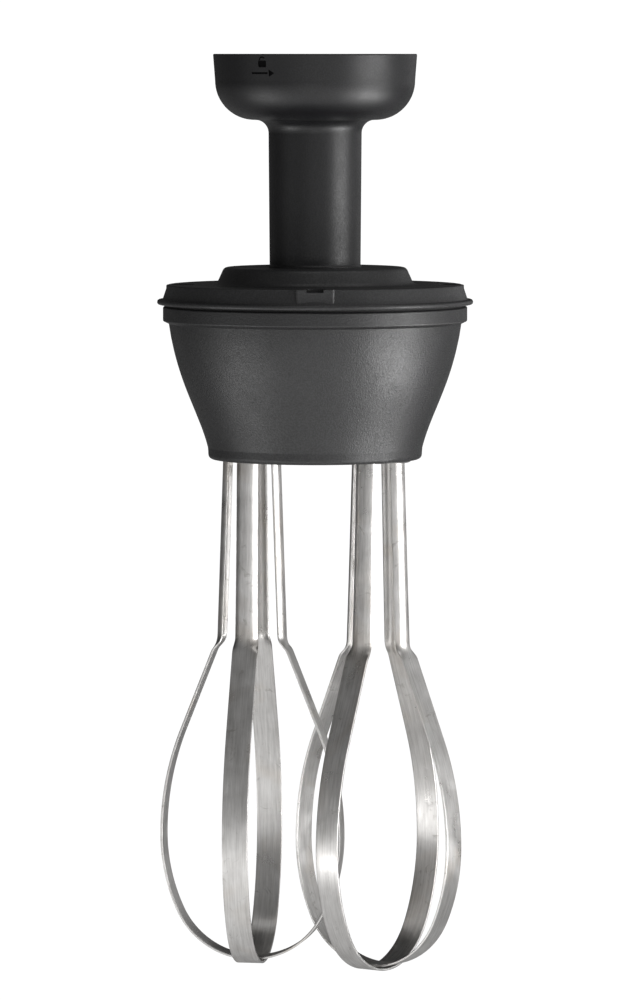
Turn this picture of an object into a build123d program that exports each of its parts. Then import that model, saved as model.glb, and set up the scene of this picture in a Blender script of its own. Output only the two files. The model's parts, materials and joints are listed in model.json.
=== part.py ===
from build123d import *
import os
from math import acos, cos, pi, radians, sin, sqrt, tan

# Twin whisk attachment: a bayonet bell that takes a motor unit, a gearbox below it, and two
# counter-rotating strip whisks that pull out for washing.  Millimetres, +Z up.
# The origin is the centre of the bell's open rim; the object hangs below it, so most
# positions are given as a depth below that rim.

# ---- driving dimensions ------------------------------------------------------------------

# coupling bell and column
socket_r = 36.5
socket_depth = 10.5
bell_rim_r = 40.3
bell_arc_r = 15.5
bell_arc_centre_r = 24.0
bell_wall = 3.0
column_top_r = 18.4
column_foot_r = 18.0
column_fillet = 5.2
column_foot_depth = 83.6
column_bore_r = 14.0
column_screw_circle = 27.6
column_screw_angles = (45, 135, 225, 315)
bayonet_count = 3
bayonet_depth = 1.6
bayonet_entry_deg = 12.0
bayonet_sweep_deg = 25.0
mark_azimuth = 239.0
mark_engraving = 0.3

# gearbox lid
hump_top = 84.1
hump_r = 36.0
lid_top = 91.0
lid_top_r = 58.4
lip_top = 96.8
lip_bottom = 98.8
lip_rounding = 0.9
lip_r = 62.5
cone_foot_r = 60.35
lid_screw_circle = 52.0
lid_screw_angles = (0, 90, 180, 270)
screw_pad_r = 6.9
front_pad_angles = (90, 270)
front_pad_inner_r = 46.0
front_pad_outer_r = 59.9
front_pad_width = 15.4
front_pad_notch_width = 6.6
front_pad_notch_depth = 1.1

# housing
housing_top = 99.6
band_bottom = 105.3
band_r = 60.2
shoulder_depth = 106.4
floor_top = 145.0
floor_bottom = 148.0
skirt_bottom = 160.0
skirt_r = 42.2
housing_wall = 2.5
# outer wall between the shoulder and the skirt: (radius, depth) of its smooth S shape
wall_shape = [(57.9, 106.4), (56.2, 115.7), (52.55, 128.4), (47.6, 141.0), (43.95, 150.5), (42.5, 155.5)]

# gear train
module = 1.0
pressure_angle = radians(25)
addendum = 0.8
dedendum = 1.05
tooth_thinning = 0.09
input_teeth = 10
intermediate_gear_teeth = 40
intermediate_pinion_teeth = 12
output_teeth = 50

# shafts and bearings
shaft_running_gap = 0.03
input_shaft_r = 4.0
input_tail_r = 2.5
input_circlip_depths = (28.6, 93.3)
ball_bearing_608 = (4.0, 11.0, 7.0)
ball_bearing_6001 = (6.0, 14.0, 8.0)
intermediate_shaft_r = 3.0
output_shaft_r = 6.0
output_circlip_depths = (108.1, 131.9, 141.05)
plate_top = 110.0
plate_bottom = 114.0
plate_r = 53.4
pillar_circle = 47.0
pillar_angles = (40, 140, 220, 320)
tower_top = 124.0
tower_r = 17.0
bearing_top = 133.0
nose_top = 149.0
nose_bottom = 153.5
nose_r = 8.0
socket_flats = 8.0
socket_end = 127.0

# whisks
whisk_spacing = 50.0
whisk_left_azimuth = 79.5
whisk_right_azimuth = 55.5
right_whisk_drop = 2.9
shank_flats = 7.9
strip_width = 10.2
strip_thickness = 1.0
channel_r = 4.8
channel_half_angle = 66.0
leg_top = 154.5
leg_bottom = 229.0
leg_top_r = 6.65
leg_bottom_r = 9.15
flat_start = 236.5
neck_depth = 232.0
neck_r = 13.4
flare_angle = 21.8
widest_depth = 310.3
widest_r = 35.95
upper_side_arc_r = 113.8
lower_side_arc_r = 71.5
outer_bottom_arc_r = 31.0
inner_bottom_arc_r = 32.3
ferrule_r = 13.0
ferrule_top = 154.0
ferrule_bottom = 158.5

left = (-whisk_spacing / 2, 0.0)
right = (whisk_spacing / 2, 0.0)


def layshaft_place():
    """Centre of the intermediate shaft: in mesh with the input pinion and the left gear."""
    from_input = module * (input_teeth + intermediate_gear_teeth) / 2
    from_left = module * (intermediate_pinion_teeth + output_teeth) / 2
    half = whisk_spacing / 2
    x = (from_left**2 - from_input**2 - half**2) / (2 * half)
    return (x, sqrt(from_input**2 - x**2))


layshaft = layshaft_place()


# ---- small helpers -----------------------------------------------------------------------

def ring(inner_r, outer_r, top, bottom, at=(0, 0)):
    """Upright ring or, with inner_r 0, a plain cylinder, between two depths."""
    height = bottom - top
    body = Cylinder(outer_r, height)
    if inner_r > 0:
        body -= Cylinder(inner_r, height)
    return Pos(at[0], at[1], -(top + bottom) / 2) * body


def around(radius, angle):
    """Point on a circle about the main axis."""
    return (radius * cos(radians(angle)), radius * sin(radians(angle)))


def turned(face):
    """Solid of revolution about Z from a flat face drawn as (radius, height)."""
    return revolve(Plane.XZ * face, Axis.Z)


def outline(points):
    """Flat face from (radius, depth) corners."""
    return make_face(Polyline(*[(r, -d) for r, d in points], close=True))


def soften(face, corners, radius):
    """Round the corners of a flat face that lie nearest the given (radius, depth) points."""
    picked = [face.vertices().sort_by_distance((r, -d, 0))[0] for r, d in corners]
    return fillet(picked, radius)


def sector(inner_r, outer_r, top, bottom, start_deg, size_deg):
    """Part of a ring that spans only some degrees about Z."""
    corners = [(inner_r, top), (outer_r, top), (outer_r, bottom), (inner_r, bottom)]
    wedge = revolve(Plane.XZ * outline(corners), Axis.Z, size_deg)
    return Rot(0, 0, start_deg) * wedge


def merged(solids):
    """Boolean sum of a list of solids."""
    total = solids[0]
    for solid in solids[1:]:
        total += solid
    return total


def ball_bearing(size, top, at=(0, 0)):
    """Ball bearing as one ring, with the shield recess between its races on both faces."""
    inner_r, outer_r, width = size
    body = ring(inner_r + shaft_running_gap, outer_r, top, top + width, at)
    recess_in = inner_r + 0.3 * (outer_r - inner_r)
    recess_out = inner_r + 0.7 * (outer_r - inner_r)
    recess = 0.6
    body -= ring(recess_in, recess_out, top, top + recess, at)
    body -= ring(recess_in, recess_out, top + width - recess, top + width, at)
    return body


def open_circlip(inner_r, outer_r, top, thickness, at=(0, 0)):
    """Flat retaining ring with a gap between its ends."""
    gap = Box(outer_r * 2, inner_r * 0.6, thickness * 2)
    body = ring(inner_r, outer_r, top, top + thickness, at)
    return body - Pos(at[0] - outer_r * 1.3, at[1], -top - thickness / 2) * gap


def pan_screw(at, head_top, head_r, head_height, shank_r, shank_end):
    """Pan-head screw with a cross recess, head up."""
    head = ring(0, head_r, head_top, head_top + head_height, at)
    head = fillet(head.edges().sort_by(Axis.Z)[-1:], 0.8)
    arm = 1.0
    depth = 1.4
    slot = Box(head_r * 1.2, arm, depth) + Box(arm, head_r * 1.2, depth)
    head -= Pos(at[0], at[1], -head_top - depth / 2) * slot
    return head + ring(0, shank_r, head_top + head_height, shank_end, at)


# ---- gears -------------------------------------------------------------------------------

def involute(angle):
    return tan(angle) - angle


def tooth_edges(teeth, centre_angle):
    """Edges of one tooth and the root gap after it, drawn about the origin."""
    pitch_r = module * teeth / 2
    base_r = pitch_r * cos(pressure_angle)
    tip_r = pitch_r + addendum * module
    root_r = pitch_r - dedendum * module
    half_at_pitch = (pi * module / 2 - tooth_thinning) / (2 * pitch_r)

    def half_angle(radius):
        roll = acos(min(1.0, base_r / radius))
        return half_at_pitch + involute(pressure_angle) - involute(roll)

    def at(radius, angle):
        return Vector(radius * cos(angle), radius * sin(angle))

    flank_start_r = max(base_r, root_r)
    radii = [flank_start_r + (tip_r - flank_start_r) * step / 4 for step in range(5)]
    rising = [at(r, centre_angle - half_angle(r)) for r in radii]
    falling = [at(r, centre_angle + half_angle(r)) for r in reversed(radii)]
    root_half = half_angle(flank_start_r)
    gap_end = centre_angle + 2 * pi / teeth - root_half
    gap_middle = centre_angle + pi / teeth
    edges = [
        Spline(*rising),
        ThreePointArc(rising[-1], at(tip_r, centre_angle), falling[0]),
        Spline(*falling),
    ]
    gap_points = [falling[-1], at(root_r, gap_middle), at(flank_start_r, gap_end)]
    if root_r < base_r:
        foot = at(root_r, centre_angle + root_half)
        next_foot = at(root_r, gap_end)
        edges.append(Line(falling[-1], foot))
        edges.append(ThreePointArc(foot, gap_points[1], next_foot))
        edges.append(Line(next_foot, gap_points[2]))
    else:
        edges.append(ThreePointArc(*gap_points))
    return edges


def spur_gear(teeth, phase, top, bottom, bore_r, at):
    """Spur gear between two depths, with the middle of one tooth at the phase angle."""
    edges = []
    for tooth in range(teeth):
        edges += tooth_edges(teeth, phase + tooth * 2 * pi / teeth)
    body = extrude(make_face(edges), bottom - top)
    body = Pos(at[0], at[1], -bottom) * body
    return body - ring(0, bore_r, top, bottom, at)


def mating_phase(teeth, phase, direction, mate_teeth):
    """Phase of a gear in mesh with another that lies in a direction (radians) from it."""
    slope = teeth * (direction - phase)
    return direction + pi - (pi - slope) / mate_teeth


# ---- coupling column and input drive -----------------------------------------------------

def direction_mark():
    """Generic open padlock over an arrow, engraved on the bell beside a bayonet entry."""
    padlock_body = Pos(0, -3.9) * RectangleRounded(3.6, 2.6, 0.4)
    shackle = Pos(0, -2.5) * (Circle(1.5) - Circle(0.95))
    shackle -= Pos(0, -4.5) * Rectangle(4, 4)
    shackle -= Pos(1.5, -2.4) * Rectangle(1.4, 1.2)
    shaft = Pos(-1.4, -7.5) * Rectangle(7.4, 0.7)
    head = Pos(3.6, -7.5) * RegularPolygon(1.6, 3)
    flat = padlock_body + shackle + shaft + head
    x, y = around(bell_rim_r - 4, mark_azimuth)
    outward = Vector(x, y, 0).normalized()
    plane = Plane(origin=(x, y, 0), x_dir=(-outward.Y, outward.X, 0), z_dir=outward)
    tool = extrude(plane * flat, 8)
    skin_top_r = bell_rim_r
    skin_foot_r = bell_arc_centre_r + bell_arc_r
    band = [
        (skin_top_r - mark_engraving, 0.0),
        (skin_top_r + 2, 0.0),
        (skin_foot_r + 2, socket_depth),
        (skin_foot_r - mark_engraving, socket_depth),
    ]
    return tool & turned(outline(band))


def bayonet_grooves():
    """Entry slots and lead-in grooves cut in the socket wall for the motor unit's lugs."""
    groove_r = socket_r + bayonet_depth
    cuts = []
    for index in range(bayonet_count):
        start = 30 + index * 360 / bayonet_count
        cuts.append(sector(socket_r - 1, groove_r, -1, 8.5, start, bayonet_entry_deg))
        cuts.append(sector(socket_r - 1, groove_r, 5.0, 8.5, start, bayonet_sweep_deg))
    return merged(cuts)


def coupling_column():
    """Bell, tube, bearing seats and the foot flange that the lid clamps, in one moulding."""
    arc_foot = socket_depth + bell_arc_r
    inner_arc_r = bell_arc_r - bell_wall
    floor = socket_depth + inner_arc_r
    cos45 = cos(radians(45))
    fillet_centre = (bell_arc_centre_r - 0.4, arc_foot + column_fillet)

    def point(radius, depth):
        return (radius, -depth)

    def bulge(radius):
        return point(bell_arc_centre_r + radius * cos45, socket_depth + radius * cos45)

    waist = point(fillet_centre[0] - column_fillet * cos45, fillet_centre[1] - column_fillet * cos45)
    tube_top = point(column_top_r, fillet_centre[1])
    rest_of_outline = [
        tube_top,
        point(column_foot_r, 83.0),
        point(column_top_r, column_foot_depth),
        point(column_top_r, 89.1),
        point(31.0, 89.1),
        point(31.0, 93.1),
        point(11.0, 93.1),
        point(11.0, 86.0),
        point(8.5, 86.0),
        point(8.5, 82.0),
        point(column_bore_r, 82.0),
        point(column_bore_r, 40.0),
        point(8.5, 40.0),
        point(8.5, 37.0),
        point(11.0, 37.0),
        point(11.0, floor),
        point(bell_arc_centre_r, floor),
    ]
    outer_arc_start = point(bell_arc_centre_r + bell_arc_r, socket_depth)
    outer_arc_end = point(bell_arc_centre_r, arc_foot)
    fillet_start = point(fillet_centre[0], arc_foot)
    edges = [
        Line(point(bell_rim_r, 0), outer_arc_start),
        ThreePointArc(outer_arc_start, bulge(bell_arc_r), outer_arc_end),
        Line(outer_arc_end, fillet_start),
        ThreePointArc(fillet_start, waist, tube_top),
        Polyline(*rest_of_outline),
        ThreePointArc(rest_of_outline[-1], bulge(inner_arc_r), point(socket_r, socket_depth)),
        Line(point(socket_r, socket_depth), point(socket_r, 0)),
        Line(point(socket_r, 0), point(bell_rim_r, 0)),
    ]
    face = soften(make_face(edges), [(bell_rim_r, 0)], 0.5)
    body = turned(face)
    body -= bayonet_grooves()
    body -= direction_mark()
    body -= ring(22.0, 24.4, 89.1, 91.0)
    for angle in column_screw_angles:
        body -= ring(0, 2.2, 89.1, 93.1, around(column_screw_circle, angle))
    return body


def column_seal():
    """Seal ring in the groove of the column's foot flange, pressed against the lid."""
    corners = [(22.05, 89.1), (24.35, 89.1), (24.35, 90.95), (22.05, 90.95)]
    return turned(soften(outline(corners), [(22.05, 90.95), (24.35, 90.95)], 0.7))


def column_screws():
    """Four screws driven up through the foot flange into the lid's hump."""
    screws = []
    for angle in column_screw_angles:
        x, y = around(column_screw_circle, angle)
        upright = pan_screw((0, 0), 0, 3.2, 2.0, 1.9, 9.4)
        screws.append(Pos(x, y, -95.1) * Rot(180, 0, 0) * upright)
    return merged(screws)


def input_shaft():
    body = ring(0, input_shaft_r, 15.0, 101.0) + ring(0, input_tail_r, 101.0, 113.6)
    for depth in input_circlip_depths:
        body -= ring(input_shaft_r - 0.5, input_shaft_r + 1, depth, depth + 1.1)
    body = chamfer(body.edges().sort_by(Axis.Z)[-1:], 0.5)
    return body - coupler_pin_hole()


def coupler_pin_hole():
    return Pos(0, 0, -19.5) * Rot(0, 90, 0) * Cylinder(1.25, 30)


def drive_coupler():
    """Four-lobed driving dog that the motor unit's spindle drops on to."""
    body = ring(0, 9.0, 13.0, 24.0)
    body = fillet(body.edges().sort_by(Axis.Z)[-1:], 0.8)
    slot = Box(20, 3.2, 4.0) + Box(3.2, 20, 4.0)
    body -= Pos(0, 0, -15.0) * slot
    body -= ring(0, 3.0, 12.0, 15.0)
    body -= ring(0, input_shaft_r, 15.0, 24.0)
    return body - coupler_pin_hole()


def coupler_pin():
    """Roll pin that locks the coupler to the input shaft."""
    return Pos(0, 0, -19.5) * Rot(0, 90, 0) * (Cylinder(1.25, 16.0) - Cylinder(0.6, 16.0))


def input_lip_seal():
    """Lip seal above the upper bearing, with its dished front face."""
    body = ring(input_shaft_r + 0.05, 11.0, 25.0, 28.2)
    return body - ring(6.0, 9.6, 25.0, 26.4)


def input_circlips():
    clips = [open_circlip(input_shaft_r - 0.5, 6.2, d, 1.1) for d in input_circlip_depths]
    return merged(clips)


# ---- lid ---------------------------------------------------------------------------------

def front_pad():
    """Flat-faced pad that stands out of the lid's cone round a screw pit, drawn at azimuth 0."""
    middle_r = (front_pad_inner_r + front_pad_outer_r) / 2
    height = lip_bottom - lid_top
    block = Box(front_pad_outer_r - front_pad_inner_r, front_pad_width, height)
    block = fillet(block.edges().filter_by(Axis.Z).sort_by(Axis.X)[-2:], 1.2)
    return Pos(middle_r, 0, -lid_top - height / 2) * block


def front_pad_notch():
    """Finger notch in the pad's top edge that opens the screw pit to the outside."""
    length = front_pad_outer_r + 2 - lid_screw_circle
    block = Box(length, front_pad_notch_width, 2 * front_pad_notch_depth)
    return Pos(lid_screw_circle + length / 2, 0, -lid_top) * block


def gearbox_lid():
    """Stepped round lid with its rounded lip, four screw pits and their moulded pads."""
    corners = [
        (column_top_r + 0.1, hump_top),
        (hump_r, hump_top),
        (39.1, lid_top),
        (lid_top_r, lid_top),
        (cone_foot_r, lip_top),
        (lip_r, lip_top),
        (lip_r, lip_bottom),
        (54.5, lip_bottom),
        (54.5, 94.5),
        (33.8, 94.5),
        (33.8, 89.1),
        (column_top_r + 0.1, 89.1),
    ]
    face = soften(outline(corners), [(hump_r, hump_top)], 2.2)
    face = soften(face, [(39.1, lid_top)], 3.0)
    face = soften(face, [(lid_top_r, lid_top)], 0.5)
    face = soften(face, [(cone_foot_r, lip_top)], 0.35)
    face = soften(face, [(lip_r, lip_top), (lip_r, lip_bottom)], lip_rounding)
    body = turned(face)
    for angle in lid_screw_angles:
        place = around(lid_screw_circle, angle)
        pad = ring(0, screw_pad_r, lid_top, lip_bottom, place)
        body += fillet(pad.edges().sort_by(Axis.Z)[-1:], 0.5)
        if angle in front_pad_angles:
            body += Rot(0, 0, angle) * front_pad()
            body -= Rot(0, 0, angle) * front_pad_notch()
        body -= ring(0, 4.4, lid_top - 1, 95.4, place)
        body -= ring(0, 2.2, 95.4, lip_bottom, place)
    for angle in column_screw_angles:
        body -= ring(0, 1.9, 85.6, 89.1, around(column_screw_circle, angle))
    return body


def lid_gasket():
    """Flat gasket between lid and housing, a little narrower than both."""
    body = ring(53.8, 59.3, lip_bottom, housing_top)
    for angle in lid_screw_angles:
        place = around(lid_screw_circle, angle)
        body += ring(0, 4.6, lip_bottom, housing_top, place)
        body -= ring(0, 2.4, lip_bottom, housing_top, place)
    return body


def lid_screws():
    screws = []
    for angle in lid_screw_angles:
        place = around(lid_screw_circle, angle)
        screws.append(pan_screw(place, 92.9, 3.8, 2.5, 1.8, 109.0))
    return merged(screws)


# ---- housing -----------------------------------------------------------------------------

def housing_outer_edges():
    """Outside of the housing from its top edge to its foot, as joined edges."""
    curve = Spline(*[(r, -d) for r, d in wall_shape])
    top = Polyline((band_r, -housing_top), (band_r, -band_bottom), (57.9, -shoulder_depth))
    foot = Line((42.5, -155.5), (skirt_r, -skirt_bottom))
    return [top, curve, foot]


def housing_solid():
    """The housing's outer shape, filled."""
    edges = housing_outer_edges()
    closing = Polyline((skirt_r, -skirt_bottom), (0, -skirt_bottom), (0, -housing_top), (band_r, -housing_top))
    face = make_face(edges + [closing])
    face = soften(face, [(skirt_r, skirt_bottom)], 1.9)
    face = soften(face, [(band_r, housing_top)], 0.7)
    face = soften(face, [(band_r, band_bottom)], 0.6)
    return turned(face)


def housing_cavity():
    """The room inside for the gears."""
    upper = [(r - housing_wall, d) for r, d in wall_shape if d < floor_top]
    last_r, last_d = upper[-1]
    end = (last_r - 1.6, floor_top)
    curve = Spline(*[(r, -d) for r, d in upper + [end]])
    closing = Polyline(
        (end[0], -end[1]),
        (0, -floor_top),
        (0, -housing_top),
        (band_r - housing_wall, -housing_top),
        (band_r - housing_wall, -105.0),
        (upper[0][0], -upper[0][1]),
    )
    return turned(make_face([curve, closing]))


def gearbox_housing():
    """Bowl with bearing towers, pillars for the bearing plate and posts for the lid screws."""
    filled = housing_solid()
    body = filled - housing_cavity()
    skirt = [(0, floor_bottom), (40.3, floor_bottom), (39.7, skirt_bottom + 1), (0, skirt_bottom + 1)]
    body -= turned(soften(outline(skirt), [(40.3, floor_bottom)], 1.5))

    inside = []
    for angle in lid_screw_angles:
        inside.append(ring(0, 5.0, housing_top, plate_top, around(lid_screw_circle, angle)))
    for angle in pillar_angles:
        inside.append(ring(0, 4.2, plate_bottom, floor_top + 1, around(pillar_circle, angle)))
    for place in (left, right):
        inside.append(ring(0, tower_r, tower_top, floor_bottom, place))
    inside.append(ring(0, 6.5, 123.5, floor_top + 1, layshaft))
    body += merged(inside) & filled

    for angle in lid_screw_angles:
        body -= ring(0, 1.82, housing_top, 109.6, around(lid_screw_circle, angle))
    for angle in pillar_angles:
        body -= ring(0, 1.82, plate_bottom, 123.0, around(pillar_circle, angle))
    for place in (left, right):
        body -= ring(0, 8.0, tower_top, bearing_top, place)
        body -= ring(0, ball_bearing_6001[1], bearing_top, floor_bottom, place)
        body -= ring(0, ball_bearing_6001[1] + 0.7, 141.0, 142.2, place)
    body -= ring(0, 4.5, 123.5, 131.0, layshaft)
    return body


def bearing_plate():
    """Plate across the housing that carries the upper ends of all four shafts."""
    body = ring(0, plate_r, plate_top, plate_bottom)
    for angle in lid_screw_angles:
        body -= ring(0, 5.6, plate_top, plate_bottom, around(lid_screw_circle, angle))
    for angle in pillar_angles:
        body -= ring(0, 2.1, plate_top, plate_bottom, around(pillar_circle, angle))
    body -= ring(0, 4.0, plate_top, plate_bottom)
    body -= ring(0, 4.5, plate_top, plate_bottom, layshaft)
    for place in (left, right):
        body -= ring(0, nose_r, plate_top, plate_bottom, place)
    return body


def plate_screws():
    screws = []
    for angle in pillar_angles:
        screws.append(pan_screw(around(pillar_circle, angle), 107.6, 3.5, 2.4, 1.8, 122.4))
    return merged(screws)


def flanged_bush(shaft_r, outer_r, flange_r, at):
    """Plain bush in the bearing plate, with its flange on top of the plate."""
    bore = shaft_r + shaft_running_gap
    flange = ring(bore, flange_r, plate_top - 0.8, plate_top, at)
    return flange + ring(bore, outer_r, plate_top, plate_bottom, at)


# ---- whisk drive -------------------------------------------------------------------------

def output_gear(phase, at):
    """Large gear with a thinned web and six lightening holes."""
    body = spur_gear(output_teeth, phase, 115.2, 122.2, output_shaft_r, at)
    body -= ring(10.0, 21.0, 115.2, 116.7, at)
    body -= ring(10.0, 21.0, 120.7, 122.2, at)
    for hole in range(6):
        x, y = around(15.5, 60 * hole + 30)
        body -= ring(0, 3.2, 115.2, 122.2, (at[0] + x, at[1] + y))
    return body


def hex_bar(flats, top, bottom, at, turn):
    """Hexagonal bar; a flat faces the turn direction."""
    hexagon = RegularPolygon(flats / 2, 6, major_radius=False, rotation=turn + 30)
    return Pos(at[0], at[1], -bottom) * extrude(hexagon, bottom - top)


def detent_groove_solid(at):
    return ring(7.3, nose_r + 1, 150.4, 151.7, at)


def detent_ball_hole(at, turn):
    bar = Pos(6, 0, 0) * Rot(0, 90, 0) * Cylinder(1.65, 6)
    return Pos(at[0], at[1], -151.05) * Rot(0, 0, turn) * bar


def output_shaft(at, turn):
    """Shaft with a hexagonal socket for the whisk and a stepped nose below the seal."""
    body = ring(0, output_shaft_r, 107.3, nose_top, at) + ring(0, nose_r, nose_top, nose_bottom, at)
    body -= hex_bar(socket_flats, socket_end, nose_bottom, at, turn)
    for depth in output_circlip_depths:
        body -= ring(output_shaft_r - 0.5, output_shaft_r + 1, depth, depth + 1.0, at)
    body -= detent_groove_solid(at)
    return body - detent_ball_hole(at, turn)


def output_circlips(at):
    return merged([open_circlip(output_shaft_r - 0.5, 7.7, d, 1.0, at) for d in output_circlip_depths])


def bearing_retainer(at):
    """Internal circlip that holds the lower bearing in its tower."""
    return open_circlip(11.4, ball_bearing_6001[1] + 0.65, 141.1, 1.05, at)


def output_lip_seal(at):
    """Lip seal under the bearing, dished on the side that faces the food."""
    body = ring(output_shaft_r + 0.05, ball_bearing_6001[1], 143.0, floor_bottom, at)
    return body - ring(8.4, 12.2, 146.2, floor_bottom, at)


def whisk_detent(at, turn):
    """Spring ring round the nose and the ball that it presses into the whisk's shank."""
    clip = Pos(at[0], at[1], -151.05) * Torus(7.92, 0.58)
    gap = Pos(at[0], at[1], -151.05) * Rot(0, 0, turn + 180) * Pos(8, 0, 0) * Box(4, 3, 4)
    x, y = around(5.68, turn)
    ball = Pos(at[0] + x, at[1] + y, -151.05) * Sphere(1.58)
    return (clip - gap) + ball


# ---- whisks ------------------------------------------------------------------------------

def loop_point(side, radius, depth):
    """Point in a loop's own plane; side is +1 or -1."""
    return Vector(side * radius, 0, -depth)


def loop_half(side, bottom_arc_r):
    """Key points of one half of a loop: tangent straight, two side arcs and the bottom arc."""
    flare = radians(flare_angle)
    start_r = neck_r + (flat_start - neck_depth) * tan(flare)
    side_centre_r = widest_r - upper_side_arc_r
    straight_end = (side_centre_r + upper_side_arc_r * cos(flare), widest_depth - upper_side_arc_r * sin(flare))
    half = flare / 2
    upper_middle = (side_centre_r + upper_side_arc_r * cos(half), widest_depth - upper_side_arc_r * sin(half))
    low_centre_r = widest_r - lower_side_arc_r
    reach = lower_side_arc_r - bottom_arc_r
    bottom_centre = widest_depth + sqrt(reach**2 - low_centre_r**2)
    turn = acos(-low_centre_r / reach)
    join = (low_centre_r + lower_side_arc_r * cos(turn), widest_depth + lower_side_arc_r * sin(turn))
    lower_middle = (
        low_centre_r + lower_side_arc_r * cos(turn / 2),
        widest_depth + lower_side_arc_r * sin(turn / 2),
    )
    points = {
        "start": (start_r, flat_start),
        "straight_end": straight_end,
        "upper_middle": upper_middle,
        "widest": (widest_r, widest_depth),
        "lower_middle": lower_middle,
        "join": join,
        "bottom": (0.0, bottom_centre + bottom_arc_r),
    }
    return {name: loop_point(side, *place) for name, place in points.items()}


def loop_path(bottom_arc_r):
    """Middle line of the flat strip, down one side, round the bottom and up the other."""
    near = loop_half(-1, bottom_arc_r)
    far = loop_half(1, bottom_arc_r)
    return Wire(
        [
            Edge.make_line(near["start"], near["straight_end"]),
            Edge.make_three_point_arc(near["straight_end"], near["upper_middle"], near["widest"]),
            Edge.make_three_point_arc(near["widest"], near["lower_middle"], near["join"]),
            Edge.make_three_point_arc(near["join"], near["bottom"], far["join"]),
            Edge.make_three_point_arc(far["join"], far["lower_middle"], far["widest"]),
            Edge.make_three_point_arc(far["widest"], far["upper_middle"], far["straight_end"]),
            Edge.make_line(far["straight_end"], far["start"]),
        ]
    )


def strip_section(side):
    """Cross-section of the flat strip where it meets the shaped leg."""
    flare = radians(flare_angle)
    start_r = neck_r + (flat_start - neck_depth) * tan(flare)
    along = Vector(side * sin(flare), 0, -cos(flare))
    plane = Plane(origin=loop_point(side, start_r, flat_start), x_dir=(0, 1, 0), z_dir=along)
    return plane * Rectangle(strip_width, strip_thickness)


def channel_section(side, centre_r, depth):
    """Round-backed channel section of a leg, its back turned outwards."""
    lean = (leg_bottom_r - leg_top_r) / (leg_bottom - leg_top)
    along = Vector(side * lean, 0, -1).normalized()
    plane = Plane(origin=loop_point(side, centre_r, depth), x_dir=(0, 1, 0), z_dir=along)
    outward = 1 if plane.y_dir.X * side > 0 else -1
    inner_r = channel_r - strip_thickness

    def spot(radius, angle):
        turn = radians(angle)
        return (radius * sin(turn), outward * radius * cos(turn))

    edge = channel_half_angle
    face = make_face(
        [
            ThreePointArc(spot(channel_r, -edge), spot(channel_r, 0), spot(channel_r, edge)),
            Line(spot(channel_r, edge), spot(inner_r, edge)),
            ThreePointArc(spot(inner_r, edge), spot(inner_r, 0), spot(inner_r, -edge)),
            Line(spot(inner_r, -edge), spot(channel_r, -edge)),
        ]
    )
    return plane * face


def leg(side):
    """Leaning channel leg and the stamped shoulder where it flattens into the strip."""
    top = channel_section(side, leg_top_r, leg_top)
    bottom = channel_section(side, leg_bottom_r, leg_bottom)
    straight = loft([top, bottom], ruled=True)
    shoulder = loft([bottom, strip_section(side)], ruled=True)
    return straight + shoulder


def loop_solid(azimuth, at, drop, bottom_arc_r):
    """One bent strip with both of its legs, in the vertical plane at the azimuth."""
    flat = sweep(strip_section(-1), loop_path(bottom_arc_r))
    body = flat + leg(-1) + leg(1)
    return Pos(at[0], at[1], -drop) * Rot(0, 0, azimuth) * body


def whisk_ferrule(azimuth, at, drop):
    """Round cap that grips the four legs, cut out to fit round them."""
    body = ring(0, ferrule_r, ferrule_top, ferrule_bottom)
    body = fillet(body.edges().sort_by(Axis.Z)[:1], 1.0)
    for turn in (0, 90):
        for side in (-1, 1):
            body -= Rot(0, 0, azimuth + turn) * leg(side)
    return Pos(at[0], at[1], -drop) * body


def whisk_shank(at, drop, turn):
    """Hexagonal drive shank that plugs into the output shaft."""
    body = hex_bar(shank_flats, socket_end + 0.3, ferrule_top, at, turn)
    body = chamfer(body.faces().sort_by(Axis.Z)[-1].edges(), 0.8)
    return Pos(0, 0, -drop) * body


# ---- all the pieces ----------------------------------------------------------------------

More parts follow.
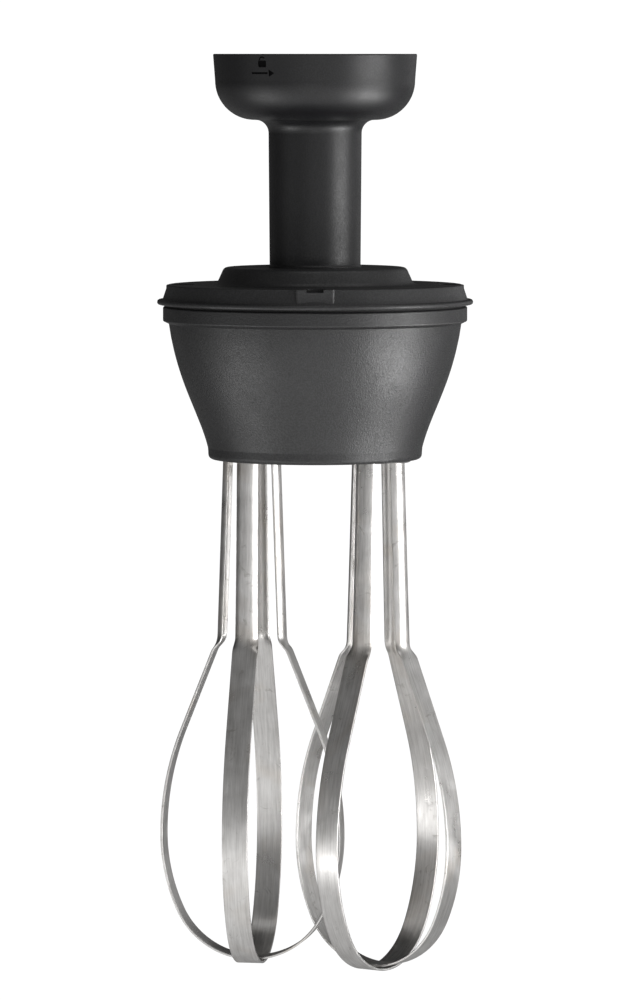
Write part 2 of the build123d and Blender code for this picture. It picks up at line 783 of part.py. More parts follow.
def build():
    nodes = {
        "coupling_column": coupling_column(),
        "column_seal": column_seal(),
        "column_screws": column_screws(),
        "drive_coupler": drive_coupler(),
        "coupler_pin": coupler_pin(),
        "input_shaft": input_shaft(),
        "input_lip_seal": input_lip_seal(),
        "input_circlips": input_circlips(),
        "input_upper_bearing": ball_bearing(ball_bearing_608, 30.0),
        "input_lower_bearing": ball_bearing(ball_bearing_608, 86.0),
        "input_tail_bush": flanged_bush(input_tail_r, 4.0, 5.5, (0, 0)),
        "gearbox_lid": gearbox_lid(),
        "lid_gasket": lid_gasket(),
        "lid_screws": lid_screws(),
        "gearbox_housing": gearbox_housing(),
        "bearing_plate": bearing_plate(),
        "plate_screws": plate_screws(),
        "intermediate_shaft": ring(0, intermediate_shaft_r, 101.5, 130.5, layshaft),
        "intermediate_upper_bush": flanged_bush(intermediate_shaft_r, 4.5, 6.5, layshaft),
        "intermediate_lower_bush": ring(intermediate_shaft_r + shaft_running_gap, 4.5, 123.5, 131.0, layshaft),
    }

    x, y = layshaft
    direction_from_left = Vector(x - left[0], y - left[1]).get_angle(Vector(1, 0))
    direction_from_input = Vector(x, y).get_angle(Vector(1, 0))
    left_phase = 0.0
    right_phase = mating_phase(output_teeth, left_phase, 0.0, output_teeth)
    pinion_phase = mating_phase(
        output_teeth, left_phase, radians(direction_from_left), intermediate_pinion_teeth
    )
    gear_phase = 0.0
    input_phase = mating_phase(
        intermediate_gear_teeth, gear_phase, radians(direction_from_input) + pi, input_teeth
    )
    nodes["input_pinion"] = spur_gear(input_teeth, input_phase, 102.0, 108.8, input_tail_r, (0, 0))
    nodes["intermediate_gear"] = spur_gear(
        intermediate_gear_teeth, gear_phase, 103.0, 108.6, intermediate_shaft_r, layshaft
    )
    nodes["intermediate_pinion"] = spur_gear(
        intermediate_pinion_teeth, pinion_phase, 114.5, 122.8, intermediate_shaft_r, layshaft
    )

    sides = {
        "left": (left, whisk_left_azimuth, 0.0, left_phase),
        "right": (right, whisk_right_azimuth, right_whisk_drop, right_phase),
    }
    for name, (place, azimuth, drop, phase) in sides.items():
        nodes[f"output_gear_{name}"] = output_gear(phase, place)
        nodes[f"output_shaft_{name}"] = output_shaft(place, azimuth)
        nodes[f"output_upper_bush_{name}"] = flanged_bush(output_shaft_r, nose_r, 10.0, place)
        nodes[f"output_bearing_{name}"] = ball_bearing(ball_bearing_6001, bearing_top, place)
        nodes[f"output_circlips_{name}"] = output_circlips(place)
        nodes[f"bearing_retainer_{name}"] = bearing_retainer(place)
        nodes[f"output_lip_seal_{name}"] = output_lip_seal(place)
        nodes[f"whisk_detent_{name}"] = whisk_detent(place, azimuth)
        nodes[f"whisk_shank_{name}"] = whisk_shank(place, drop, azimuth)
        nodes[f"whisk_ferrule_{name}"] = whisk_ferrule(azimuth, place, drop)
        nodes[f"whisk_outer_loop_{name}"] = loop_solid(azimuth, place, drop, outer_bottom_arc_r)
        nodes[f"whisk_inner_loop_{name}"] = loop_solid(azimuth + 90, place, drop, inner_bottom_arc_r)
    return nodes


os.makedirs("parts", exist_ok=True)
for node_name, solid in build().items():
    export_step(solid, f"parts/{node_name}.step")
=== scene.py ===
import json
from functools import partial
from math import acos, atan2, cos, pi, radians, sin, sqrt, tan

import bpy
from mathutils import Matrix, Vector


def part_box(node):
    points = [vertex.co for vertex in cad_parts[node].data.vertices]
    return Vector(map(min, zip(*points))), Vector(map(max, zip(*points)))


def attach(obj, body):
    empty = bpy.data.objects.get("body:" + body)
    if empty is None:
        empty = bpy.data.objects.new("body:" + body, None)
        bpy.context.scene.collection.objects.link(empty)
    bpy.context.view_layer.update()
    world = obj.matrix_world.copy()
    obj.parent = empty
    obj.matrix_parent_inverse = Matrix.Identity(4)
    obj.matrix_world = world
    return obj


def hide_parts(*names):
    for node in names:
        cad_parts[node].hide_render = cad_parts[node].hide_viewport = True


# Looks for the twin whisk attachment: procedural finishes on the CAD pieces, and refined meshes
# for the bent steel strips.  Metres, in the frame's own axes: the origin is the centre of the
# bell's rim, the object hangs below it, and -Y is the side the camera looks at.

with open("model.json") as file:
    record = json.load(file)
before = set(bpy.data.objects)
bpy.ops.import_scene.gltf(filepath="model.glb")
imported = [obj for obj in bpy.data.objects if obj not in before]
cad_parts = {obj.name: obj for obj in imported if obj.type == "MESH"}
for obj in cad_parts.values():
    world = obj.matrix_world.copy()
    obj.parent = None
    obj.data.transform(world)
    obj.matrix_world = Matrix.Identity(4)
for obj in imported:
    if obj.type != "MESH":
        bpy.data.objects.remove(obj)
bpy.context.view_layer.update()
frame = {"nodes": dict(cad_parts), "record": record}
MM = 0.001


# ---- places and sizes --------------------------------------------------------------------

# engraved direction mark, on the bell's outer wall, its recess painted dark as shade
BELL_RIM_R = 40.3 * MM
BELL_TAPER = 0.8 / 10.5
MARK_TOP = 0.7 * MM
MARK_BOTTOM = 9.5 * MM
MARK_LEAST_DEPTH = 0.15 * MM
MARK_MOST_DEPTH = 0.60 * MM
# how dark the engraved mark's recess is painted: painted shade
MARK_RECESS_SHADE = 0.8

# strip section: a little thinner than the CAD strip's 1 mm, so the mesh stays inside the CAD box
STRIP_WIDTH = 10.2 * MM
STRIP_THICKNESS = 0.95 * MM
EDGE_ROUNDING = 0.22 * MM
FACE_SEGMENTS = 16

# legs, which are channels, and the neck where they turn into flat strip
LEG_TOP = 154.5 * MM
LEG_BOTTOM = 229.0 * MM
CROWN_TOP_R = 10.95 * MM
CROWN_BOTTOM_R = 13.45 * MM
CHANNEL_HALF_ANGLE = radians(66.0)
CHANNEL_END_HALF_ANGLE = radians(58.0)
CHANNEL_FADE_START = 230.0 * MM
CHANNEL_FADE_END = 236.5 * MM
NECK_DEPTH = 232.0 * MM
NECK_R = 13.4 * MM
NECK_BEND_R = 12.0 * MM

# balloon below the neck
FLARE = radians(21.8)
WIDEST_DEPTH = 310.3 * MM
WIDEST_R = 35.95 * MM
UPPER_SIDE_ARC_R = 113.8 * MM
LOWER_SIDE_ARC_R = 71.5 * MM

# azimuth in degrees and drop of each whisk; turn in degrees and bottom arc of each loop
WHISKS = {"left": (79.5, 0.0), "right": (55.5, 2.9 * MM)}
LOOPS = {"outer": (0, 31.0 * MM), "inner": (90, 32.3 * MM)}

# studio: glowing patches of the floor as centre x, centre y, radius and strength
WHITE_STRENGTH = 1.05
FLOOR_HALF = 3.0
FLOOR_HEIGHT = -0.43
FLOOR_GLOW = 0.08
POOLS = {
    "front": (0.0, -0.42, 0.62, 0.95),
    "far": (0.0, -1.7, 1.25, 1.7),
    "right": (0.64, -0.22, 0.36, 17.0),
    "left": (-0.50, -0.22, 0.32, 3.6),
    "side": (-1.05, -0.50, 0.85, 0.95),
}

CAMERA_DISTANCE = 2.45
CAMERA_OFFSET = 2.13 * MM
CAMERA_LENS = 223.0
CAMERA_PITCH = radians(4.12)


# ---- shader helpers ----------------------------------------------------------------------

def rgba(value):
    """A grey or a colour as four channels."""
    return (*value, 1.0) if isinstance(value, tuple) else (value, value, value, 1.0)


def scaled(tone, factor):
    return tuple(factor * channel for channel in tone)


class Nodes:
    """Short calls for the nodes of one tree."""

    def __init__(self, tree):
        self.tree = tree

    def node(self, kind, **settings):
        made = self.tree.nodes.new(kind)
        for key, value in settings.items():
            setattr(made, key, value)
        return made

    def link(self, source, target):
        self.tree.links.new(source, target)

    def math(self, operation, first, second):
        made = self.node("ShaderNodeMath", operation=operation)
        for socket, value in zip(made.inputs, (first, second)):
            if isinstance(value, (int, float)):
                socket.default_value = value
            else:
                self.link(value, socket)
        return made.outputs["Value"]

    def map_range(self, value, source, target, kind="LINEAR"):
        """Carry the source range on to the target range, held at both ends."""
        made = self.node("ShaderNodeMapRange", interpolation_type=kind)
        made.inputs["From Min"].default_value, made.inputs["From Max"].default_value = source
        made.inputs["To Min"].default_value, made.inputs["To Max"].default_value = target
        self.link(value, made.inputs["Value"])
        return made.outputs["Result"]

    def mix_shader(self, factor, first, second):
        made = self.node("ShaderNodeMixShader")
        for socket, source in zip(made.inputs, (factor, first, second)):
            self.link(source, socket)
        return made.outputs["Shader"]


class Shader(Nodes):
    """A new material with a principled shader, and short calls for the patterns that feed it."""

    def __init__(self, name, roughness, metallic=0.0, specular=0.5):
        self.material = bpy.data.materials.new(name)
        self.material.use_nodes = True
        super().__init__(self.material.node_tree)
        self.principled = self.tree.nodes["Principled BSDF"]
        self.principled.inputs["Roughness"].default_value = roughness
        self.principled.inputs["Metallic"].default_value = metallic
        self.principled.inputs["Specular IOR Level"].default_value = specular
        self.place = self.node("ShaderNodeTexCoord")

    def coordinates(self, scale=(1, 1, 1), uv=False):
        """Object or UV coordinates, stretched per axis."""
        mapping = self.node("ShaderNodeMapping")
        mapping.inputs["Scale"].default_value = scale
        self.link(self.place.outputs["UV" if uv else "Object"], mapping.inputs["Vector"])
        return mapping.outputs["Vector"]

    def object_axes(self):
        """The X, Y and Z sockets of the object coordinates."""
        split = self.node("ShaderNodeSeparateXYZ")
        self.link(self.place.outputs["Object"], split.inputs["Vector"])
        return split.outputs

    def noise(self, vector, scale, detail=4.0, roughness=0.55, distortion=0.0):
        made = self.node("ShaderNodeTexNoise")
        made.inputs["Scale"].default_value = scale
        made.inputs["Detail"].default_value = detail
        made.inputs["Roughness"].default_value = roughness
        made.inputs["Distortion"].default_value = distortion
        self.link(vector, made.inputs["Vector"])
        return made.outputs["Fac"]

    def ramp(self, value, low, high, low_at=0.3, high_at=0.7):
        """Map a 0 to 1 pattern on to two greys or two colours."""
        made = self.node("ShaderNodeValToRGB")
        start, end = made.color_ramp.elements
        start.position = low_at
        end.position = high_at
        start.color = rgba(low)
        end.color = rgba(high)
        self.link(value, made.inputs["Fac"])
        return made.outputs["Color"]

    def mix(self, factor, first, second):
        made = self.node("ShaderNodeMix", data_type="RGBA")
        sockets = (made.inputs[0], made.inputs[6], made.inputs[7])
        for socket, value in zip(sockets, (factor, first, second)):
            if isinstance(value, (int, float)):
                socket.default_value = value
            elif isinstance(value, tuple):
                socket.default_value = rgba(value)
            else:
                self.link(value, socket)
        return made.outputs[2]

    def bump(self, height, distance, strength=1.0, under=None):
        made = self.node("ShaderNodeBump")
        made.inputs["Strength"].default_value = strength
        made.inputs["Distance"].default_value = distance
        self.link(height, made.inputs["Height"])
        if under is not None:
            self.link(under, made.inputs["Normal"])
        return made.outputs["Normal"]

    def colour(self, source):
        self.link(source, self.principled.inputs["Base Color"])

    def rough(self, source):
        self.link(source, self.principled.inputs["Roughness"])

    def normal(self, source):
        self.link(source, self.principled.inputs["Normal"])


# ---- finishes ----------------------------------------------------------------------------

def scuffed(s, space, depth, under):
    """Sparse thin scratches on top of a surface, drawn out along the vertical axis."""
    marks = s.node("ShaderNodeTexVoronoi", feature="DISTANCE_TO_EDGE")
    marks.inputs["Scale"].default_value = 34.0
    s.link(s.coordinates((1.0, 1.0, 0.18)), marks.inputs["Vector"])
    thin = s.ramp(marks.outputs["Distance"], 0.0, 1.0, 0.0, 0.012)
    sparse = s.ramp(s.noise(space, 22.0, detail=2.0), 1.0, 0.0, 0.32, 0.40)
    scratch = s.math("MAXIMUM", thin, s.math("SUBTRACT", 1.0, sparse))
    return s.bump(scratch, depth, 0.5, under)


def engraved(s):
    """1 in the engraved direction mark, which lies deeper than the bell's outer wall; else 0."""
    x, y, z = s.object_axes()
    squares = s.math("ADD", s.math("POWER", x, 2.0), s.math("POWER", y, 2.0))
    radius = s.math("SQRT", squares, 0.0)
    untapered = s.math("ADD", radius, s.math("MULTIPLY", z, -BELL_TAPER))
    below = s.math("LESS_THAN", untapered, BELL_RIM_R - MARK_LEAST_DEPTH)
    above = s.math("GREATER_THAN", untapered, BELL_RIM_R - MARK_MOST_DEPTH)
    high = s.math("GREATER_THAN", z, -MARK_BOTTOM)
    low = s.math("LESS_THAN", z, -MARK_TOP)
    return s.math("MULTIPLY", s.math("MULTIPLY", below, above), s.math("MULTIPLY", high, low))


def moulded(
    name, dark, light, smooth, dull, grain_size, grain_depth, specular=0.5, scuffs=0.0, marked=False
):
    """Moulded plastic: spark grain, faint mottling, rubbed or scuffed patches, and painted shade in
    the engraved mark when marked.
    """
    s = Shader(name, roughness=(smooth + dull) / 2, specular=specular)
    space = s.coordinates()
    grain = s.noise(space, 1.0 / grain_size, detail=2.0, roughness=0.5)
    patches = s.noise(space, 38.0, detail=5.0, roughness=0.62)
    flow = s.noise(s.coordinates((1, 1, 0.22)), 160.0, detail=3.0)
    tone = s.mix(0.6, s.ramp(patches, dark, light), s.ramp(grain, dark, light, 0.42, 0.62))
    worn = s.math("ADD", s.math("MULTIPLY", patches, 0.45), s.math("MULTIPLY", grain, 0.55))
    rough = s.ramp(worn, dull, smooth, 0.38, 0.62)
    surface = s.bump(grain, grain_depth, 0.9)
    surface = s.bump(flow, grain_depth * 0.5, 0.3, surface)
    if scuffs > 0:
        surface = scuffed(s, space, scuffs, surface)
    if marked:
        # painted shade: the engraved mark's recess is painted near black, with a rougher, less
        # glossy finish
        cut = s.math("MULTIPLY", engraved(s), MARK_RECESS_SHADE)
        tone = s.mix(cut, tone, (0.0005, 0.0005, 0.0005))
        rough = s.mix(cut, rough, (0.95, 0.95, 0.95))
        s.link(s.ramp(cut, 0.5, 0.0, 0.0, 1.0), s.principled.inputs["Specular IOR Level"])
    s.colour(tone)
    s.rough(rough)
    s.normal(surface)
    return s.material


def rubber(name, tone):
    """Matte rubber with a slight bloom and a fine pebble."""
    s = Shader(name, roughness=0.75, specular=0.35)
    space = s.coordinates()
    bloom = s.noise(space, 90.0, detail=4.0)
    pebble = s.noise(space, 2600.0, detail=2.0)
    s.colour(s.ramp(bloom, scaled(tone, 0.75), scaled(tone, 1.35)))
    s.rough(s.ramp(bloom, 0.62, 0.86))
    s.normal(s.bump(pebble, 0.03 * MM, 0.7))
    return s.material


def turned_metal(name, tone, smooth, dull, stretch=(1, 1, 40)):
    """Machined metal: fine tool marks, ringed unless another stretch is given, and an oil film."""
    s = Shader(name, roughness=(smooth + dull) / 2, metallic=1.0)
    rings = s.noise(s.coordinates(stretch), 130.0, detail=4.0, roughness=0.7)
    film = s.noise(s.coordinates(), 120.0, detail=4.0)
    filmed = s.ramp(film, scaled(tone, 0.82), tone)
    ringed = s.ramp(rings, scaled(tone, 0.7), tone)
    s.colour(s.mix(0.4, filmed, ringed))
    s.rough(s.ramp(film, smooth, dull))
    s.normal(s.bump(rings, 0.02 * MM, 0.5))
    return s.material


def brushed_strip(name):
    """Rolled stainless strip: grain along its length, worn blotches, heat tint, small dents."""
    s = Shader(name, roughness=0.3, metallic=1.0)
    both = s.coordinates(uv=True)
    along_fine = s.coordinates((1.0, 0.018, 1.0), uv=True)
    along_coarse = s.coordinates((1.0, 0.05, 1.0), uv=True)
    grain = s.noise(along_fine, 5200.0, detail=4.0, roughness=0.7)
    streak = s.noise(along_coarse, 1300.0, detail=4.0, roughness=0.65)
    clouds = s.noise(both, 75.0, detail=5.0, roughness=0.6, distortion=0.4)
    dents = s.ramp(s.noise(both, 210.0, detail=3.0, distortion=0.5), 0.0, 1.0, 0.60, 0.72)
    clouded = s.ramp(clouds, (0.52, 0.505, 0.485), (0.76, 0.75, 0.735))
    streaked = s.ramp(streak, (0.40, 0.39, 0.38), (0.86, 0.85, 0.84))
    steel = s.mix(0.5, clouded, streaked)
    tint = s.ramp(s.noise(both, 30.0, detail=3.0, distortion=0.6), 0.0, 0.45, 0.52, 0.75)
    steel = s.mix(tint, steel, (0.56, 0.48, 0.39))
    rubbed = s.noise(both, 120.0, detail=6.0, roughness=0.7, distortion=1.2)
    worn = s.ramp(rubbed, 0.0, 0.55, 0.60, 0.70)
    s.colour(s.mix(worn, steel, (0.24, 0.22, 0.20)))
    s.rough(s.math("ADD", s.ramp(clouds, 0.25, 0.42, 0.3, 0.75), s.math("MULTIPLY", worn, 0.25)))
    surface = s.bump(grain, 0.006 * MM, 0.5)
    s.normal(s.bump(dents, 0.05 * MM, 0.4, surface))
    s.principled.inputs["Anisotropic"].default_value = 0.35
    return s.material


def gear_stock(name, tone):
    """Natural acetal: slightly waxy, with faint cutter rings and grease smears."""
    s = Shader(name, roughness=0.4, specular=0.5)
    smears = s.noise(s.coordinates(), 140.0, detail=4.0)
    cuts = s.noise(s.coordinates((1, 1, 30)), 160.0, detail=3.0)
    s.colour(s.ramp(smears, scaled(tone, 0.8), tone))
    s.rough(s.ramp(smears, 0.22, 0.5))
    s.normal(s.bump(cuts, 0.02 * MM, 0.5))
    return s.material


def make_finishes():
    """Every material, under the name of its slot."""
    recipes = {
        "black_moulding": partial(
            moulded, dark=(0.002, 0.002, 0.0024), light=(0.009, 0.0088, 0.0102),
            smooth=0.32, dull=0.48, grain_size=0.6 * MM, grain_depth=0.022 * MM,
            scuffs=0.05 * MM, marked=True,
        ),
        "lid_black": partial(
            moulded, dark=(0.012, 0.012, 0.0125), light=(0.030, 0.030, 0.031),
            smooth=0.34, dull=0.56, grain_size=0.6 * MM, grain_depth=0.04 * MM,
        ),
        "housing_grey": partial(
            moulded, dark=(0.001, 0.001, 0.0012), light=(0.014, 0.014, 0.015),
            smooth=0.38, dull=0.56, grain_size=0.6 * MM, grain_depth=0.14 * MM, specular=0.70,
        ),
        "gasket_rubber": partial(rubber, tone=(0.012, 0.012, 0.012)),
        "seal_rubber": partial(rubber, tone=(0.02, 0.02, 0.022)),
        "whisk_steel": brushed_strip,
        "shaft_steel": partial(turned_metal, tone=(0.62, 0.61, 0.60), smooth=0.18, dull=0.36),
        "screw_steel": partial(
            turned_metal, tone=(0.42, 0.42, 0.43), smooth=0.28, dull=0.5, stretch=(1, 1, 8)
        ),
        "bearing_steel": partial(turned_metal, tone=(0.70, 0.70, 0.72), smooth=0.10, dull=0.26),
        "clip_steel": partial(turned_metal, tone=(0.20, 0.19, 0.20), smooth=0.3, dull=0.5),
        "bush_bronze": partial(turned_metal, tone=(0.56, 0.36, 0.17), smooth=0.3, dull=0.5),
        "gear_plastic": partial(gear_stock, tone=(0.80, 0.78, 0.72)),
        "gear_steel": partial(turned_metal, tone=(0.42, 0.42, 0.43), smooth=0.25, dull=0.45),
        "plate_aluminium": partial(
            turned_metal, tone=(0.72, 0.73, 0.74), smooth=0.26, dull=0.44, stretch=(30, 1, 1)
        ),
        "dog_plastic": partial(
            moulded, dark=(0.16, 0.16, 0.155), light=(0.24, 0.24, 0.23),
            smooth=0.45, dull=0.6, grain_size=0.5 * MM, grain_depth=0.03 * MM,
        ),
    }
    return {name: make(name) for name, make in recipes.items()}


def dress_cad_nodes():
    """Give every CAD node the finish of its material slot."""
    slots = {part["node"]: part["material_slot"] for part in frame["record"]["subparts"]}
    for name, piece in frame["nodes"].items():
        for material_slot in piece.material_slots:
            material_slot.material = finishes[slots[name]]


# ---- the bent steel strips ---------------------------------------------------------------

def arc_points(centre, radius, start, end, step):
    """Points along an arc in the (radius, depth) plane, without its first point."""
    count = max(2, int(abs(end - start) * radius / step))
    turns = [start + (end - start) * (i + 1) / count for i in range(count)]
    return [(centre[0] + radius * cos(t), centre[1] + radius * sin(t)) for t in turns]


def line_points(start, end, step):
    """Points along a straight stretch, without its first point."""
    length = sqrt((end[0] - start[0]) ** 2 + (end[1] - start[1]) ** 2)
    count = max(1, int(length / step))
    share = [(i + 1) / count for i in range(count)]
    return [(start[0] + (end[0] - start[0]) * f, start[1] + (end[1] - start[1]) * f) for f in share]


def leg_and_bend():
    """The leaning leg and the rounded bend at the neck, down to where the flare begins."""
    lean = atan2(CROWN_BOTTOM_R - CROWN_TOP_R, LEG_BOTTOM - LEG_TOP)
    corner_depth = (
        NECK_R - CROWN_TOP_R + LEG_TOP * tan(lean) - NECK_DEPTH * tan(FLARE)
    ) / (tan(lean) - tan(FLARE))
    corner_r = CROWN_TOP_R + (corner_depth - LEG_TOP) * tan(lean)
    reach = NECK_BEND_R * tan((FLARE - lean) / 2)
    start = (corner_r - reach * sin(lean), corner_depth - reach * cos(lean))
    centre = (start[0] + NECK_BEND_R * cos(lean), start[1] - NECK_BEND_R * sin(lean))
    points = [(CROWN_TOP_R, LEG_TOP)]
    points += line_points(points[-1], start, 2.0 * MM)
    points += arc_points(centre, NECK_BEND_R, pi - lean, pi - FLARE, 0.6 * MM)
    return points


def crown_line(bottom_arc_r):
    """Middle line of half a loop, from the top of its leg to the bottom, as (radius, depth)."""
    upper_centre = (WIDEST_R - UPPER_SIDE_ARC_R, WIDEST_DEPTH)
    straight_end = (
        upper_centre[0] + UPPER_SIDE_ARC_R * cos(FLARE),
        WIDEST_DEPTH - UPPER_SIDE_ARC_R * sin(FLARE),
    )
    lower_centre = (WIDEST_R - LOWER_SIDE_ARC_R, WIDEST_DEPTH)
    span = LOWER_SIDE_ARC_R - bottom_arc_r
    bottom_centre = (0.0, WIDEST_DEPTH + sqrt(span**2 - lower_centre[0] ** 2))
    join_turn = acos(-lower_centre[0] / span)

    points = leg_and_bend()
    points += line_points(points[-1], straight_end, 1.0 * MM)
    points += arc_points(upper_centre, UPPER_SIDE_ARC_R, -FLARE, 0.0, 1.2 * MM)
    points += arc_points(lower_centre, LOWER_SIDE_ARC_R, 0.0, join_turn, 1.2 * MM)
    points += arc_points(bottom_centre, bottom_arc_r, join_turn, pi / 2, 1.0 * MM)
    return points


def fade(value, start, end):
    """Smooth 1 to 0 step between two depths."""
    t = min(1.0, max(0.0, (value - start) / (end - start)))
    return 1.0 - t * t * (3.0 - 2.0 * t)


def half_angle_at(depth):
    """How far the strip's section curls round: a channel in the leg, flat below the neck."""
    along_leg = min(1.0, (depth - LEG_TOP) / (LEG_BOTTOM - LEG_TOP))
    curl = CHANNEL_HALF_ANGLE + (CHANNEL_END_HALF_ANGLE - CHANNEL_HALF_ANGLE) * along_leg**3
    return curl * fade(depth, CHANNEL_FADE_START, CHANNEL_FADE_END)


def flat_section():
    """Closed section of the flat strip as (across, outward), with rounded edges."""
    face_limit = STRIP_WIDTH / 2 - EDGE_ROUNDING
    corner = STRIP_THICKNESS / 2 - EDGE_ROUNDING
    steep_first = [radians(degrees) for degrees in (60, 30, 0)]
    level_first = steep_first[::-1]

    def rounding(side, face, turns):
        """One rounded corner: side and face are 1 or -1, across and outward."""
        return [
            (side * (face_limit + EDGE_ROUNDING * cos(t)), face * (corner + EDGE_ROUNDING * sin(t)))
            for t in turns
        ]

    steps = [2 * face_limit * i / FACE_SEGMENTS for i in range(FACE_SEGMENTS + 1)]
    outline = [(-face_limit + step, STRIP_THICKNESS / 2) for step in steps]
    outline += rounding(1, 1, steep_first) + rounding(1, -1, level_first)
    outline += [(face_limit - step, -STRIP_THICKNESS / 2) for step in steps]
    outline += rounding(-1, -1, steep_first) + rounding(-1, 1, level_first)
    return outline


def curled(across, off, curl):
    """A point of the flat section, carried round when the strip is a channel."""
    if curl < 1e-4:
        return (across, off)
    radius = STRIP_WIDTH / 2 / curl
    turn = across / radius
    return ((radius + off) * sin(turn), (radius + off) * cos(turn) - radius)


def sweep(stations, section):
    """Vertices of the section at every station, in the loop's own plane."""
    verts = []
    for i, (r, d) in enumerate(stations):
        before = stations[max(0, i - 1)]
        after = stations[min(len(stations) - 1, i + 1)]
        along = Vector((after[0] - before[0], 0, before[1] - after[1])).normalized()
        outward = Vector((along.z, 0, -along.x))
        curl = half_angle_at(d)
        for flat_across, flat_off in section:
            across, off = curled(flat_across, flat_off, curl)
            verts.append(Vector((r, across, -d)) + outward * off)
    return verts


def tube_faces(rings, count):
    """Quads between neighbouring rings of vertices, and a cap on each end."""
    faces = []
    for i in range(rings - 1):
        for j in range(count):
            k = (j + 1) % count
            faces.append((i * count + j, i * count + k, (i + 1) * count + k, (i + 1) * count + j))
    faces.append(tuple(reversed(range(count))))
    faces.append(tuple((rings - 1) * count + j for j in range(count)))
    return faces


def lengths_along(stations):
    """Distance of every station from the first one."""
    lengths = [0.0]
    for a, b in zip(stations, stations[1:]):
        lengths.append(lengths[-1] + sqrt((b[0] - a[0]) ** 2 + (b[1] - a[1]) ** 2))
    return lengths


def lay_uv(mesh, section, lengths, shift):
    """UV in metres, across and along the strip, shifted so that no two strips look the same."""
    uv = mesh.uv_layers.new(name="strip")
    for polygon in mesh.polygons:
        for corner in polygon.loop_indices:
            ring, place = divmod(mesh.loops[corner].vertex_index, len(section))
            uv.data[corner].uv = (section[place][0] + shift[0], lengths[ring] + shift[1])


def strip_mesh(name, azimuth, axis_x, drop, bottom_arc_r):
    """One loop: both legs and the flat strip between them, swept section by section."""
    half = crown_line(bottom_arc_r)
    stations = [(-r, d) for r, d in half] + [(r, d) for r, d in reversed(half[:-1])]
    section = flat_section()
    turn = Matrix.Rotation(radians(azimuth), 4, "Z")
    shift = Matrix.Translation((axis_x, 0, -drop))
    verts = [shift @ turn @ v for v in sweep(stations, section)]
    mesh = bpy.data.meshes.new(name)
    mesh.from_pydata(verts, [], tube_faces(len(stations), len(section)))
    lay_uv(mesh, section, lengths_along(stations), (azimuth * MM, axis_x))
    mesh.update()
    piece = bpy.data.objects.new(name, mesh)
    bpy.context.scene.collection.objects.link(piece)
    for polygon in mesh.polygons:
        polygon.use_smooth = True
    mesh.set_sharp_from_angle(angle=radians(40))
    mesh.materials.append(finishes["whisk_steel"])
    return piece


def make_whisks():
    """Four refined loops in place of the plain CAD ones."""
    for side, (azimuth, drop) in WHISKS.items():
        low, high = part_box(f"whisk_ferrule_{side}")
        axis_x = (low.x + high.x) / 2
        for layer, (turn, arc) in LOOPS.items():
            node = f"whisk_{layer}_loop_{side}"
            piece = strip_mesh(f"strip_{layer}_{side}", azimuth + turn, axis_x, drop, arc)
            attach(piece, f"whisk_{side}")
            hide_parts(node)


# ---- studio ------------------------------------------------------------------------------

def pool(s, x, y, centre_x, centre_y, radius, strength):
    """Glow of one round patch of the floor, fading to nothing at its radius."""
    across = s.math("POWER", s.math("SUBTRACT", x, centre_x), 2.0)
    along = s.math("POWER", s.math("SUBTRACT", y, centre_y), 2.0)
    distance = s.math("SQRT", s.math("ADD", across, along), 0.0)
    return s.map_range(distance, (0.15 * radius, radius), (strength, 0.0), "SMOOTHSTEP")


def floor_material():
    """White to the camera, glowing in patches to every other ray, and clear from below."""
    s = Shader("pale_floor", roughness=0.9, specular=0.1)
    s.principled.inputs["Base Color"].default_value = rgba(0.5)
    s.principled.inputs["Emission Color"].default_value = rgba(1.0)
    x, y, _ = s.object_axes()
    glow = None
    for patch in POOLS.values():
        part = pool(s, x, y, *patch)
        glow = part if glow is None else s.math("ADD", glow, part)
    s.link(s.math("ADD", glow, FLOOR_GLOW), s.principled.inputs["Emission Strength"])

    white = s.node("ShaderNodeEmission")
    white.inputs["Strength"].default_value = WHITE_STRENGTH
    camera_ray = s.node("ShaderNodeLightPath").outputs["Is Camera Ray"]
    above = s.mix_shader(camera_ray, s.principled.outputs["BSDF"], white.outputs["Emission"])
    from_below = s.node("ShaderNodeNewGeometry").outputs["Backfacing"]
    clear = s.node("ShaderNodeBsdfTransparent").outputs["BSDF"]
    surface = s.mix_shader(from_below, above, clear)
    s.link(surface, s.tree.nodes["Material Output"].inputs["Surface"])
    return s.material


def make_floor():
    """Square floor below the whisks."""
    mesh = bpy.data.meshes.new("floor")
    ways = ((-1, -1), (1, -1), (1, 1), (-1, 1))
    corners = [(x * FLOOR_HALF, y * FLOOR_HALF, FLOOR_HEIGHT) for x, y in ways]
    mesh.from_pydata(corners, [], [(0, 1, 2, 3)])
    floor = bpy.data.objects.new("floor", mesh)
    bpy.context.scene.collection.objects.link(floor)
    mesh.materials.append(floor_material())


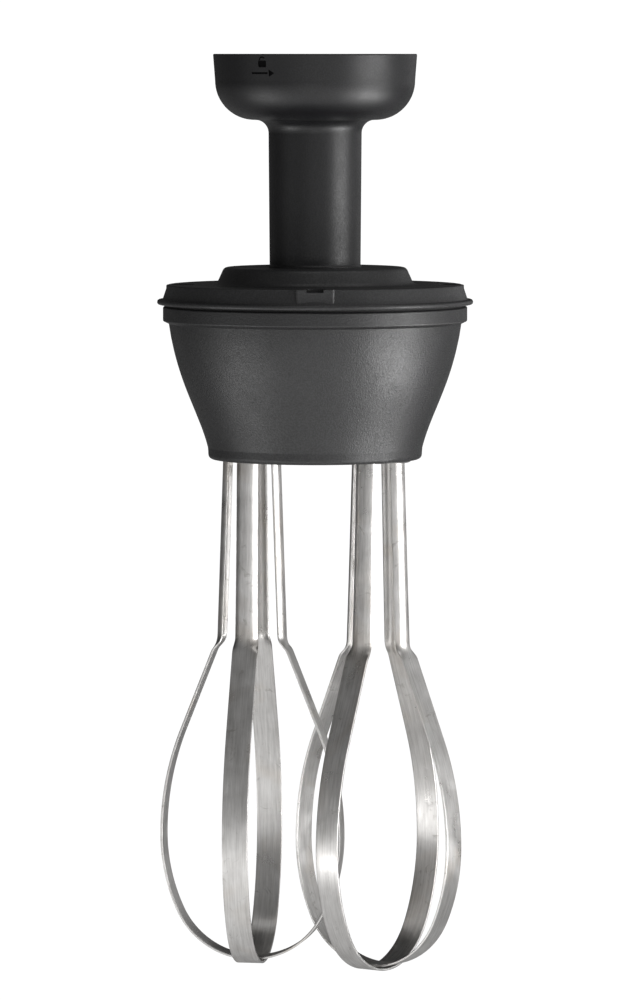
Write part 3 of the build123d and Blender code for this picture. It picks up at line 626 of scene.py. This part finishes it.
def make_world():
    """White to the camera; to every other ray brighter at the right and on the camera's side."""
    world = bpy.data.worlds.new("studio")
    bpy.context.scene.world = world
    world.use_nodes = True
    w = Nodes(world.node_tree)
    w.tree.nodes.clear()
    split = w.node("ShaderNodeSeparateXYZ")
    w.link(w.node("ShaderNodeTexCoord").outputs["Generated"], split.inputs["Vector"])
    right = w.map_range(split.outputs["X"], (0.15, 0.75), (0.0, 0.66), "SMOOTHSTEP")
    front = w.map_range(split.outputs["Y"], (-0.45, 0.15), (0.42, 0.08), "SMOOTHSTEP")
    overhead_dimming = w.map_range(split.outputs["Z"], (0.15, 0.75), (1.0, 0.45))
    strength = w.math(
        "ADD",
        w.math("MULTIPLY", right, overhead_dimming),
        w.math("MULTIPLY", front, overhead_dimming),
    )
    lit = w.node("ShaderNodeBackground")
    w.link(strength, lit.inputs["Strength"])
    seen = w.node("ShaderNodeBackground")
    seen.inputs["Color"].default_value = rgba(1.0)
    seen.inputs["Strength"].default_value = WHITE_STRENGTH
    camera_ray = w.node("ShaderNodeLightPath").outputs["Is Camera Ray"]
    surface = w.mix_shader(camera_ray, lit.outputs["Background"], seen.outputs["Background"])
    w.link(surface, w.node("ShaderNodeOutputWorld").inputs["Surface"])


def soft_light(name, place, aim, size, power):
    """Rectangular area lamp, with its size in metres and its power in watts."""
    light = bpy.data.lights.new(name, "AREA")
    light.shape = "RECTANGLE"
    light.size, light.size_y = size
    light.energy = power
    lamp = bpy.data.objects.new(name, light)
    bpy.context.scene.collection.objects.link(lamp)
    lamp.location = place
    lamp.rotation_euler = (Vector(aim) - Vector(place)).to_track_quat("-Z", "Y").to_euler()


def make_camera():
    """Long lens at rim height, looking slightly down at the middle of the object."""
    camera = bpy.data.objects.new("camera", bpy.data.cameras.new("camera"))
    bpy.context.scene.collection.objects.link(camera)
    camera.data.lens = CAMERA_LENS
    camera.data.sensor_width = 36.0
    camera.location = (CAMERA_OFFSET, -CAMERA_DISTANCE, 0.0)
    camera.rotation_euler = (pi / 2 - CAMERA_PITCH, 0, 0)
    bpy.context.scene.camera = camera


finishes = make_finishes()
dress_cad_nodes()
make_whisks()
make_floor()
make_world()
soft_light("soft_right", (1.50, -0.62, -0.20), (0, 0, -0.2), (1.1, 0.44), 9.0)
soft_light("soft_top", (0.4, -0.4, 1.8), (0, 0, -0.18), (2.2, 1.6), 9.0)
make_camera()
bpy.context.scene.view_settings.view_transform = "Standard"
